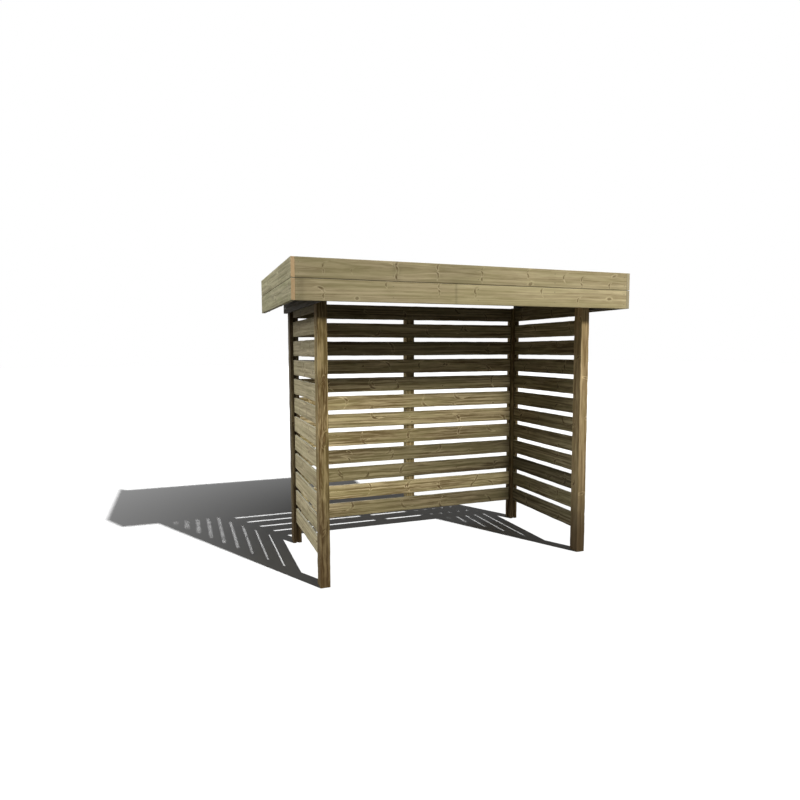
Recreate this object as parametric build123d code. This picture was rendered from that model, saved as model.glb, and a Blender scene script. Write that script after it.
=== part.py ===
from build123d import *
from math import atan2, cos, degrees, sin
import os

# An open-fronted log store in treated softwood. Four grooved posts hold slats on the left, the
# right and the back. A flat roof, hidden behind a fascia on three sides, falls to the back.
# Millimetres, +Z up. X runs along the open front, Y from the front to the back.
# The origin is on the ground, under the middle of the roof.

# Posts
POST_FACE = 70.0
POST_DEPTH = 95.0
POST_HEIGHT = 1938.0
POST_EDGE_RADIUS = 3.0
SPAN_OVER_POSTS = 2086.0
DEPTH_OVER_POSTS = 1088.0
GROOVE_DEPTH = 15.0

# Wall slats, which slide into the grooves of the posts
SLAT_COUNT = 12
SLAT_HEIGHT = 119.0
SLAT_GAP = 31.0
SLAT_THICKNESS = 20.0
SLAT_EDGE_RADIUS = 2.0
SLAT_SIDE_CLEARANCE = 0.4
SLAT_END_CLEARANCE = 2.0

# Batten that ties the back slats together halfway along
MID_BATTEN_FACE = 75.0
MID_BATTEN_DEPTH = 75.0

# Bearers, screwed to the outer sides of the posts
BEARER_THICKNESS = 28.0
BEARER_LAP = 80.0
BEARER_REAR_HEIGHT = 120.0
BEARER_REAR_REACH = 15.0

# Fascia of two boards, one above the other, on the front and both sides
FASCIA_THICKNESS = 26.0
FASCIA_LOWER_WIDTH = 131.0
FASCIA_UPPER_WIDTH = 122.0
FASCIA_JOINT = 3.0
FASCIA_DROP = 77.0
FASCIA_EDGE_RADIUS = 2.0
FRONT_OVERHANG = 195.0
SIDE_OVERHANG = 195.0
REAR_OVERHANG = 45.0

# Cleats, which hold the two boards of the fascia together
CLEAT_THICKNESS = 22.0
CLEAT_WIDTH = 45.0
CLEAT_SETBACK = 8.0
CLEAT_JOIST_CLEARANCE = 2.5
FRONT_CLEAT_BAYS = 4

# Roof
ROOF_FALL = 30.0
JOIST_COUNT = 5
JOIST_WIDTH = 45.0
JOIST_HEIGHT = 60.0
DECK_THICKNESS = 15.0
DECK_CLEARANCE = 2.0
FELT_THICKNESS = 3.0
FELT_UPSTAND = 18.0
FELT_CLEARANCE = 0.5
DRIP_BATTEN_HEIGHT = 34.0
DRIP_BATTEN_THICKNESS = 22.0

# Places that several pieces share
roof_width = SPAN_OVER_POSTS + 2 * SIDE_OVERHANG
roof_depth = FRONT_OVERHANG + DEPTH_OVER_POSTS + REAR_OVERHANG
roof_front = -roof_depth / 2
posts_front = roof_front + FRONT_OVERHANG
posts_back = posts_front + DEPTH_OVER_POSTS
posts_side = SPAN_OVER_POSTS / 2
post_x = posts_side - POST_FACE / 2
back_post_y = posts_back - POST_DEPTH / 2
groove_width = SLAT_THICKNESS + 2 * SLAT_SIDE_CLEARANCE
slat_pitch = SLAT_HEIGHT + SLAT_GAP
walls_bottom = POST_HEIGHT - (SLAT_COUNT - 1) * slat_pitch - SLAT_HEIGHT
fascia_bottom = POST_HEIGHT - FASCIA_DROP
fascia_inside_x = roof_width / 2 - FASCIA_THICKNESS
fascia_inside_y = roof_front + FASCIA_THICKNESS
bearer_bottom = POST_HEIGHT - BEARER_LAP
bearer_rear = posts_back + BEARER_REAR_REACH
bearer_rear_top = bearer_bottom + BEARER_REAR_HEIGHT

# The roof lies in a plane that rests on the bearers and falls to the back. Its origin is at the
# rear end of the bearers' top edges, and its own +Y runs down the fall.
fall_angle = atan2(ROOF_FALL, roof_depth)
roof_plane = Plane(origin=(0, bearer_rear, bearer_rear_top), x_dir=(1, 0, 0),
                   z_dir=(0, sin(fall_angle), cos(fall_angle)))


def along_fall(y, height):
    """Place along the fall, at a height above the bearers, of what stands at y on the ground."""
    return (y - bearer_rear - height * sin(fall_angle)) / cos(fall_angle)


def box(low, high):
    """Solid block between two corners."""
    size = [b - a for a, b in zip(low, high)]
    return Pos(*low) * Box(*size, align=(Align.MIN, Align.MIN, Align.MIN))


def board(plane, width, thickness, length, radius):
    """Board with eased edges, its section centred on the plane and its length along the normal."""
    return extrude(plane * RectangleRounded(width, thickness, radius), length)


def post(back_groove=False, front_groove=False, inner_groove=0):
    """Post at the origin, grooved on its back, its front, or the side that inner_groove points to."""
    section = RectangleRounded(POST_FACE, POST_DEPTH, POST_EDGE_RADIUS)
    if back_groove:
        section -= Pos(0, POST_DEPTH / 2) * Rectangle(groove_width, 2 * GROOVE_DEPTH)
    if front_groove:
        section -= Pos(0, -POST_DEPTH / 2) * Rectangle(groove_width, 2 * GROOVE_DEPTH)
    if inner_groove:
        section -= Pos(inner_groove * POST_FACE / 2, 0) * Rectangle(2 * GROOVE_DEPTH, groove_width)
    return extrude(section, POST_HEIGHT)


def slat_heights():
    """Height of the middle of each slat, from the top one down."""
    top_slat = POST_HEIGHT - SLAT_HEIGHT / 2
    return [top_slat - i * slat_pitch for i in range(SLAT_COUNT)]


def side_wall_slats(side):
    """Slats between the front and the back post, in the grooves at the middle of their faces."""
    seat = GROOVE_DEPTH - SLAT_END_CLEARANCE
    start = posts_front + POST_DEPTH - seat
    end = posts_back - POST_DEPTH + seat
    return Compound(children=[
        board(Plane(origin=(side * post_x, start, z), x_dir=(0, 0, 1), z_dir=(0, 1, 0)),
              SLAT_HEIGHT, SLAT_THICKNESS, end - start, SLAT_EDGE_RADIUS)
        for z in slat_heights()])


def back_wall_slats():
    """Slats between the two back posts, in the grooves on their inner sides."""
    reach = posts_side - POST_FACE + GROOVE_DEPTH - SLAT_END_CLEARANCE
    return Compound(children=[
        board(Plane(origin=(-reach, back_post_y, z), x_dir=(0, 0, 1), z_dir=(1, 0, 0)),
              SLAT_HEIGHT, SLAT_THICKNESS, 2 * reach, SLAT_EDGE_RADIUS)
        for z in slat_heights()])


def back_mid_batten():
    """Upright behind the back slats, from the bottom of the lowest to the top of the highest."""
    front = back_post_y + SLAT_THICKNESS / 2
    section = Plane(origin=(0, front + MID_BATTEN_DEPTH / 2, walls_bottom))
    return board(section, MID_BATTEN_FACE, MID_BATTEN_DEPTH, POST_HEIGHT - walls_bottom, POST_EDGE_RADIUS)


def side_bearer(side):
    """Tapered board along the outer sides of two posts, from the fascia to behind the back post."""
    rise = (bearer_rear - fascia_inside_y) * ROOF_FALL / roof_depth
    outline = Polyline((fascia_inside_y, bearer_bottom), (bearer_rear, bearer_bottom),
                       (bearer_rear, bearer_rear_top), (fascia_inside_y, bearer_rear_top + rise), close=True)
    inner_side = Plane(origin=(side * posts_side, 0, 0), x_dir=(0, 1, 0), z_dir=(1, 0, 0))
    return extrude(inner_side * make_face(outline), side * BEARER_THICKNESS)


def fascia_board(lower_edge, width, start, direction, length):
    """Board on edge, with its outer face on the line that runs from start in a direction."""
    across = Vector(0, 0, 1).cross(Vector(*direction))
    middle = Vector(start[0], start[1], lower_edge + width / 2) + across * (FASCIA_THICKNESS / 2)
    plane = Plane(origin=middle, x_dir=(0, 0, 1), z_dir=direction)
    return board(plane, width, FASCIA_THICKNESS, length, FASCIA_EDGE_RADIUS)


def fascia_boards():
    """The six boards by name. The front boards fit between the ends of the side boards."""
    upper_edge = fascia_bottom + FASCIA_LOWER_WIDTH + FASCIA_JOINT
    boards = {}
    for level, edge, width in (("lower", fascia_bottom, FASCIA_LOWER_WIDTH),
                               ("upper", upper_edge, FASCIA_UPPER_WIDTH)):
        boards[f"fascia_front_{level}"] = fascia_board(
            edge, width, (-fascia_inside_x, roof_front), (1, 0, 0), 2 * fascia_inside_x)
        boards[f"fascia_right_{level}"] = fascia_board(
            edge, width, (roof_width / 2, roof_front), (0, 1, 0), roof_depth)
        boards[f"fascia_left_{level}"] = fascia_board(
            edge, width, (-roof_width / 2, -roof_front), (0, -1, 0), roof_depth)
    return boards


def joist_places():
    """Front face of each joist along the fall, from the front of the roof to the rear."""
    first = along_fall(fascia_inside_y + CLEAT_THICKNESS, 0)
    step = (-JOIST_WIDTH - first) / (JOIST_COUNT - 1)
    return [first + i * step for i in range(JOIST_COUNT)]


def roof_joist(place):
    """Joist across both bearers, between the side boards of the fascia."""
    return roof_plane * box((-fascia_inside_x, place, 0), (fascia_inside_x, place + JOIST_WIDTH, JOIST_HEIGHT))


def drip_batten():
    """Batten behind the rear joist, over which the felt is turned down."""
    return roof_plane * box((-fascia_inside_x, 0, JOIST_HEIGHT - DRIP_BATTEN_HEIGHT),
                            (fascia_inside_x, DRIP_BATTEN_THICKNESS, JOIST_HEIGHT))


def roof_deck():
    """Boarding on the joists, from the front boards of the fascia to the back of the drip batten."""
    reach = fascia_inside_x - DECK_CLEARANCE
    front = along_fall(fascia_inside_y + DECK_CLEARANCE, JOIST_HEIGHT)
    return roof_plane * box((-reach, front, JOIST_HEIGHT),
                            (reach, DRIP_BATTEN_THICKNESS, JOIST_HEIGHT + DECK_THICKNESS))


def roof_felt():
    """Felt tray on the deck, turned up inside the fascia and down over the drip batten."""
    base = JOIST_HEIGHT + DECK_THICKNESS
    reach = fascia_inside_x - FELT_CLEARANCE
    front = along_fall(fascia_inside_y + FELT_CLEARANCE, base)
    rear = DRIP_BATTEN_THICKNESS
    tray = box((-reach, front, base), (reach, rear, base + FELT_THICKNESS + FELT_UPSTAND))
    tray -= box((FELT_THICKNESS - reach, front + FELT_THICKNESS, base + FELT_THICKNESS),
                (reach - FELT_THICKNESS, rear, base + FELT_THICKNESS + FELT_UPSTAND))
    apron = box((-reach, rear, JOIST_HEIGHT - DRIP_BATTEN_HEIGHT),
                (reach, rear + FELT_THICKNESS, base + FELT_THICKNESS))
    return roof_plane * (tray + apron)


def cleat(x, y, size_x, size_y):
    """Upright cleat with its lowest corner at a place on the plan."""
    top = bearer_rear_top + JOIST_HEIGHT - CLEAT_SETBACK
    return box((x, y, fascia_bottom + CLEAT_SETBACK), (x + size_x, y + size_y, top))


def front_fascia_cleats():
    """Cleats on the back of the front boards: one in each corner and the others evenly between."""
    step = (2 * fascia_inside_x - CLEAT_WIDTH) / FRONT_CLEAT_BAYS
    return Compound(children=[cleat(i * step - fascia_inside_x, fascia_inside_y, CLEAT_WIDTH, CLEAT_THICKNESS)
                              for i in range(FRONT_CLEAT_BAYS + 1)])


def side_fascia_cleats(side):
    """Cleats inside the side boards, in front of the middle joist and of the rear one."""
    x = fascia_inside_x - CLEAT_THICKNESS if side > 0 else -fascia_inside_x
    places = joist_places()
    fronts = [bearer_rear + places[i] * cos(fall_angle) for i in (JOIST_COUNT // 2, JOIST_COUNT - 1)]
    return Compound(children=[cleat(x, y - CLEAT_JOIST_CLEARANCE - CLEAT_WIDTH, CLEAT_THICKNESS, CLEAT_WIDTH)
                              for y in fronts])


pieces = {}
for name, side in (("left", -1), ("right", 1)):
    pieces[f"post_front_{name}"] = Pos(side * post_x, posts_front + POST_DEPTH / 2) * post(back_groove=True)
    pieces[f"post_back_{name}"] = Pos(side * post_x, back_post_y) * post(front_groove=True, inner_groove=-side)
    pieces[f"{name}_wall_slats"] = side_wall_slats(side)
    pieces[f"side_bearer_{name}"] = side_bearer(side)
    pieces[f"fascia_cleats_{name}"] = side_fascia_cleats(side)
pieces["back_wall_slats"] = back_wall_slats()
pieces["back_mid_batten"] = back_mid_batten()
pieces.update(fascia_boards())
pieces["fascia_cleats_front"] = front_fascia_cleats()
for number, place in enumerate(joist_places(), start=1):
    pieces[f"roof_joist_{number}"] = roof_joist(place)
pieces["roof_drip_batten"] = drip_batten()
pieces["roof_deck"] = roof_deck()
pieces["roof_felt"] = roof_felt()

os.makedirs("parts", exist_ok=True)
for name, piece in pieces.items():
    export_step(piece, f"parts/{name}.step")
    print(f"{name}: {piece.volume / 1e6:.2f} litres")
print(f"{len(pieces)} nodes, {sum(piece.volume for piece in pieces.values()) / 1e9:.4f} cubic metres, "
      f"fall {degrees(fall_angle):.2f} degrees")
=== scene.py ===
"""Dresses the log store in treated, sawn softwood under a felt roof, and lights it as a studio picture."""

import logging
import math
import random
from collections.abc import Callable, Iterable, Sequence
from dataclasses import dataclass, field, replace
from enum import Enum
from functools import cache

import bmesh
import bpy
import numpy as np
from mathutils import Matrix, Vector


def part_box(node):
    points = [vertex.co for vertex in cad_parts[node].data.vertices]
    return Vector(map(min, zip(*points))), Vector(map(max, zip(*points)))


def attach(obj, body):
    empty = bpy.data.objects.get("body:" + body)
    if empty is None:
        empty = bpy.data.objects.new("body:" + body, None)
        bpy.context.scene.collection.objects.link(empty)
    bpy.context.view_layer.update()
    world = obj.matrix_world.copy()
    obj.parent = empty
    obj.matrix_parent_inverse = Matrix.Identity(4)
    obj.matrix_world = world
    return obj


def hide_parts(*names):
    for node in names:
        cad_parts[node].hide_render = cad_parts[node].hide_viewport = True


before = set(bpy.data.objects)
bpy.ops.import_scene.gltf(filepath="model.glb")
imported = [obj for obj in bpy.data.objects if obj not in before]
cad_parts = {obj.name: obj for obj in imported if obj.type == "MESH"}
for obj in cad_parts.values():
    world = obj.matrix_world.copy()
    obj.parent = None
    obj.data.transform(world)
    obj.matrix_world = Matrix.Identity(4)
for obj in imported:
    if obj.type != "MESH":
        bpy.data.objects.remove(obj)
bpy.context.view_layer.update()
log = logging.getLogger("log_store")

MM = 0.001
WORLD_ORIGIN = Vector((0.0, 0.0, 0.0))
END_EASE = 1.2 * MM
TOP_FACE = 0.7
NO_KNOT = (50.0, 50.0, 0.0)
SHARP_ANGLE = math.radians(28)
Colour = tuple[float, float, float]


def srgb(red: int, green: int, blue: int) -> Colour:
    """Turns a colour as a screen shows it, 0 to 255, into the linear colour that a shader takes."""
    def linear(value: int) -> float:
        """One channel."""
        share = value / 255
        return share / 12.92 if share <= 0.04045 else ((share + 0.055) / 1.055) ** 2.4
    return linear(red), linear(green), linear(blue)


class Axis(Enum):
    """An axis of the model."""

    X = 0
    Y = 1
    Z = 2

    @property
    def unit(self) -> Vector:
        """The axis as a vector of length one."""
        return Vector([1.0 if i == self.value else 0.0 for i in range(3)])


class Side(Enum):
    """A side of a timber's section, in the order in which the outline goes round it."""

    THIN_LOW = 0
    BROAD_HIGH = 1
    THIN_HIGH = 2
    BROAD_LOW = 3


@dataclass(frozen=True)
class TimberFinish:
    """How one kind of timber looks.

    The colours are linear. The depths say how far rings, bands, streaks and mottle pull the colour from pale to
    dark. The tone spread says how far like boards differ in brightness, and the painted edge shade how much darker a
    face is painted along the edges of its breadth: painted shade, which makes a flat face look rounded.
    """

    name: str
    slot: str
    pale: Colour
    dark: Colour
    green: Colour
    end_grain: Colour
    knot: Colour = srgb(84, 62, 36)
    # the paler colour of top faces: partly sun bleaching, partly a painted highlight of the light that falls on them
    bleached_and_lit: Colour = srgb(208, 200, 174)
    green_share: float = 0.4
    ring_width: float = 3.6 * MM
    ring_depth: float = 0.3
    band_depth: float = 0.6
    streak_depth: float = 0.6
    mottle_depth: float = 0.25
    tone_spread: float = 0.1
    painted_edge_shade: float = 0.1
    edge_wear: float = 0.3
    top_bleach_and_highlight: float = 0.5
    damp_height: float = 0.0
    roughness: float = 0.82
    relief: float = 0.9 * MM


@dataclass(frozen=True)
class Knot:
    """A knot in one board: its place on the face and its size, in metres.

    The bend curves it like a bow, in shares of its length. The copy is the number of the board where a timber
    stands for a row of them. A knot goes through the thickness, or through the breadth where through_breadth is set.
    """

    along: float
    across: float
    length: float = 22 * MM
    breadth: float = 14 * MM
    tilt: float = 0.0
    bend: float = 0.0
    copy: int = 0
    through_breadth: bool = False


def whorl(along: float, *across: float, size: float = 10 * MM, lean: float = 0.3, copy: int = 0) -> tuple[Knot, ...]:
    """Knots in a line across a board, where a ring of branches left the stem.

    Args:
        along: Where the line crosses the board.
        across: Where each knot lies on the line.
        size: How thick the knots are, along the board.
        lean: How far they lean, each the other way from the one before.
        copy: The board's number in a row.

    Returns:
        The knots, each drawn out across the board and bent.
    """
    knots = []
    for number, place in enumerate(across):
        way = 1 if number % 2 else -1
        knots.append(Knot(along + 0.3 * way * size, place, size, 3.6 * size, way * lean, way * 1.1, copy))
    return tuple(knots)


@dataclass(frozen=True)
class Mark:
    """A band across a board that is paler or darker than the rest of it, by a share of its brightness."""

    along: float
    width: float
    tone: float


@dataclass(eq=False)
class Value:
    """What comes out of a node. A sign between it and another, or a number, adds a Math node."""

    nodes: "NodeTree"
    socket: bpy.types.NodeSocket

    def __add__(self, other: object) -> "Value":
        """The sum of the two."""
        return self.nodes.math("ADD", self, other)

    def __sub__(self, other: object) -> "Value":
        """The difference of the two."""
        return self.nodes.math("SUBTRACT", self, other)

    def __mul__(self, other: object) -> "Value":
        """The product of the two."""
        return self.nodes.math("MULTIPLY", self, other)

    def __truediv__(self, other: object) -> "Value":
        """The quotient of the two."""
        return self.nodes.math("DIVIDE", self, other)


@dataclass(eq=False)
class Node:
    """A node, whose outputs are taken by name or number."""

    nodes: "NodeTree"
    node: bpy.types.Node

    def __getitem__(self, output: int | str) -> Value:
        """One of its outputs."""
        return Value(self.nodes, self.node.outputs[output])

    def feed(self, inputs: dict) -> None:
        """Feeds its inputs, by name or number: each is linked to a Value, or set to a plain value."""
        for key, value in inputs.items():
            socket = self.node.inputs[key]
            if isinstance(value, Value):
                self.nodes.tree.links.new(value.socket, socket)
            elif socket.type == "RGBA":
                socket.default_value = (*value[:3], 1.0)
            else:
                socket.default_value = value


@dataclass(eq=False)
class NodeTree:
    """A short way to write down a node tree."""

    MIX_FIRST = 6
    MIX_SECOND = 7
    MIX_RESULT = 2

    tree: bpy.types.NodeTree

    def add(self, kind: str, inputs: dict | None = None, **settings: object) -> Node:
        """Adds a node.

        Args:
            kind: The node's type name.
            inputs: What goes into its sockets, by name or number.
            settings: Properties of the node, set before its sockets.

        Returns:
            The new node.
        """
        node = self.tree.nodes.new(kind)
        for key, value in settings.items():
            setattr(node, key, value)
        made = Node(self, node)
        made.feed(inputs or {})
        return made

    def math(self, operation: str, *values: object, clamp: bool = False) -> Value:
        """Adds a Math node."""
        return self.add("ShaderNodeMath", dict(enumerate(values)), operation=operation, use_clamp=clamp)[0]

    def vector(self, operation: str, *values: object, output: int | str = 0) -> Value:
        """Adds a Vector Math node."""
        return self.add("ShaderNodeVectorMath", dict(enumerate(values)), operation=operation)[output]

    def scale(self, value: Value, factor: Value) -> Value:
        """Scales a vector by a number."""
        return self.add("ShaderNodeVectorMath", {0: value, "Scale": factor}, operation="SCALE")[0]

    def combine(self, *parts: object) -> Value:
        """Makes a vector from three numbers."""
        return self.add("ShaderNodeCombineXYZ", dict(enumerate(parts)))[0]

    def separate(self, value: Value) -> tuple[Value, Value, Value]:
        """Takes a vector apart."""
        parts = self.add("ShaderNodeSeparateXYZ", {0: value})
        return parts[0], parts[1], parts[2]

    def noise(self, place: Value, size: float = 1.0, detail: float = 2.0, roughness: float = 0.5) -> Value:
        """Adds a noise with a number of cells per metre."""
        inputs = {"Vector": place, "Scale": size, "Detail": detail, "Roughness": roughness}
        return self.add("ShaderNodeTexNoise", inputs)[0]

    def ramp(self, value: Value, low: float, high: float, to_low: float = 0.0, to_high: object = 1.0,
             smooth: bool = True) -> Value:
        """Maps a range to another, with the ends held."""
        inputs = dict(enumerate((value, low, high, to_low, to_high)))
        return self.add("ShaderNodeMapRange", inputs, interpolation_type="SMOOTHSTEP" if smooth else "LINEAR")[0]

    def mix(self, share: object, first: object, second: object, blend: str = "MIX") -> Value:
        """Mixes two colours."""
        inputs = {0: share, self.MIX_FIRST: first, self.MIX_SECOND: second}
        return self.add("ShaderNodeMix", inputs, data_type="RGBA", blend_type=blend)[self.MIX_RESULT]

    def attribute(self, name: str, output: str = "Fac") -> Value:
        """Reads an attribute of the mesh."""
        return self.add("ShaderNodeAttribute", attribute_name=name)[output]

    def place(self) -> Value:
        """Reads the place on the object."""
        return self.add("ShaderNodeTexCoord")["Object"]

    def group(self, tree: bpy.types.NodeTree, inputs: dict[str, object]) -> Node:
        """Places a node group."""
        return self.add("ShaderNodeGroup", inputs, node_tree=tree)

    def bump(self, height: Value, distance: float, strength: float) -> Value:
        """Turns heights into a bent normal."""
        return self.add("ShaderNodeBump", {"Strength": strength, "Distance": distance, "Height": height})[0]


def new_group(name: str, tree_type: str, inputs: dict[str, str],
              outputs: dict[str, str]) -> tuple[NodeTree, Node, Node]:
    """Makes an empty node group.

    Args:
        name: Its name.
        tree_type: Its type name.
        inputs: The kind of each input, by name.
        outputs: The kind of each output, by name.

    Returns:
        The tree, its input node and its output node.
    """
    tree = bpy.data.node_groups.new(name, tree_type)
    for direction, sockets in (("INPUT", inputs), ("OUTPUT", outputs)):
        for socket, kind in sockets.items():
            tree.interface.new_socket(socket, in_out=direction, socket_type=f"NodeSocket{kind}")
    nodes = NodeTree(tree)
    return nodes, nodes.add("NodeGroupInput"), nodes.add("NodeGroupOutput")


FIGURE_MASKS = ("Bands", "Streaks", "Rings", "Mottle", "Fibre", "Patches", "Knot", "Rim", "Eye")


def figure_group() -> bpy.types.NodeTree:
    """Builds the figure of softwood, cut as a solid out of the log so that it agrees on all faces of a board."""
    nodes, given, result = new_group(
        "softwood figure", "ShaderNodeTree",
        {"Grain": "Vector", "Knot": "Vector", "Bend": "Float", "Ring Width": "Float", "Wander": "Float"},
        dict.fromkeys(FIGURE_MASKS, "Float"))
    along, broad, thin = nodes.separate(given["Grain"])
    knot_along, knot_across, strength = nodes.separate(given["Knot"])
    ragged = nodes.noise(given["Grain"], 70.0) - 0.5
    across_squared = knot_across * knot_across
    bent = knot_along + across_squared * given["Bend"]
    from_knot = nodes.math("SQRT", bent * bent + across_squared) + ragged * 0.7

    def near_knot(distance: float, inner: float, outer: float) -> Value:
        """One at a distance from the knot's heart and nought away from it, in the knot's own radii."""
        away = nodes.math("ABSOLUTE", from_knot - distance)
        return nodes.ramp(away, inner, outer, 1.0, 0.0) * strength

    halo = near_knot(0.0, 0.8, 3.6)

    def stretched(length: float, width: float, detail: float = 2.0, roughness: float = 0.5) -> Value:
        """Noise whose cells lie along the straight grain, with so many cells a metre along and across it."""
        return nodes.noise(nodes.combine(along * length, broad * width, thin * width), 1.0, detail, roughness)

    flow = (stretched(2.4, 7.0) - 0.5) * (42 * MM) + knot_across * halo * (-5 * MM)

    def flowing(length: float, width: float, detail: float = 2.0, roughness: float = 0.5) -> Value:
        """Noise whose cells follow the grain as it wanders and parts round the knots."""
        place = nodes.combine(along * length, (broad + flow) * width, (thin + flow) * width)
        return nodes.noise(place, 1.0, detail, roughness)

    radius = nodes.math("SQRT", broad * broad + thin * thin)
    count = (radius + stretched(0.9, 5.0) * given["Wander"] + halo * (11 * MM)) / given["Ring Width"]
    year = nodes.math("FRACT", count)
    bands = nodes.noise(nodes.combine(along * 0.9, count, 0.0), 0.3, 3.0, 0.6)
    taper = nodes.ramp(knot_across * given["Bend"], -0.8, 0.6, 0.35, 1.0)
    result.feed({
        "Rings": nodes.ramp(year, 0.35, 0.85) * nodes.ramp(year, 0.9, 1.0, 1.0, 0.0),
        "Bands": nodes.ramp(bands, 0.4, 0.6),
        "Streaks": nodes.ramp(flowing(1.7, 64.0, 3.0, 0.55), 0.39, 0.62),
        "Mottle": nodes.ramp(flowing(7.0, 40.0, 3.0, 0.6), 0.36, 0.64),
        "Fibre": flowing(16.0, 700.0),
        "Patches": nodes.ramp(stretched(2.2, 14.0), 0.38, 0.66),
        "Knot": near_knot(0.0, 0.5, 1.25) * taper,
        "Rim": near_knot(1.05, 0.05, 0.5) * taper,
        "Eye": near_knot(2.1, 0.1, 0.9)})
    return nodes.tree


def timber_colour_group() -> bpy.types.NodeTree:
    """Builds the colour of treated softwood from its figure."""
    depths = {"Bands": "Band Depth", "Streaks": "Streak Depth", "Rings": "Ring Depth", "Mottle": "Mottle Depth"}
    shares = (*FIGURE_MASKS, "End", "Top", "Tone", *depths.values(), "Green Share")
    colours = ("Pale", "Dark", "Green", "Knot Colour", "End Colour", "Top Colour")
    nodes, given, result = new_group(
        "treated timber colour", "ShaderNodeTree",
        dict.fromkeys(shares, "Float") | dict.fromkeys(colours, "Color"), {"Colour": "Color"})
    darkness = (given["Fibre"] - 0.5) * 0.35
    for mask, depth in depths.items():
        darkness = darkness + given[mask] * given[depth]
    darkness = nodes.math("MULTIPLY", darkness + given["Eye"] * -0.3, 0.8, clamp=True)
    colour = nodes.mix(darkness, given["Pale"], given["Dark"])
    rim_colour = nodes.mix(0.5, given["Knot Colour"], (0.01, 0.008, 0.005))
    for share, over in ((given["Patches"] * given["Green Share"], given["Green"]),
                        (given["End"] * 0.75, given["End Colour"]), (given["Top"], given["Top Colour"]),
                        (given["Rim"] * 0.6, rim_colour), (given["Knot"] * 0.75, given["Knot Colour"])):
        colour = nodes.mix(share, colour, over)
    level = given["Tone"] + 1.0
    result.feed({"Colour": nodes.mix(1.0, colour, nodes.combine(level, level, level), "MULTIPLY")})
    return nodes.tree


def wear_group() -> bpy.types.NodeTree:
    """Builds the mask of rubbed and broken edges, which wander in and out along a board."""
    nodes, given, result = new_group("edge wear", "ShaderNodeTree", {"Edge": "Float", "Grain": "Vector"},
                                     {"Wear": "Float"})
    broken = nodes.noise(nodes.vector("MULTIPLY", given["Grain"], (14.0, 60.0, 60.0)), 1.0, 3.0)
    result.feed({"Wear": nodes.ramp(given["Edge"], 0.2, 0.9) * nodes.ramp(broken, 0.42, 0.62)})
    return nodes.tree


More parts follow.
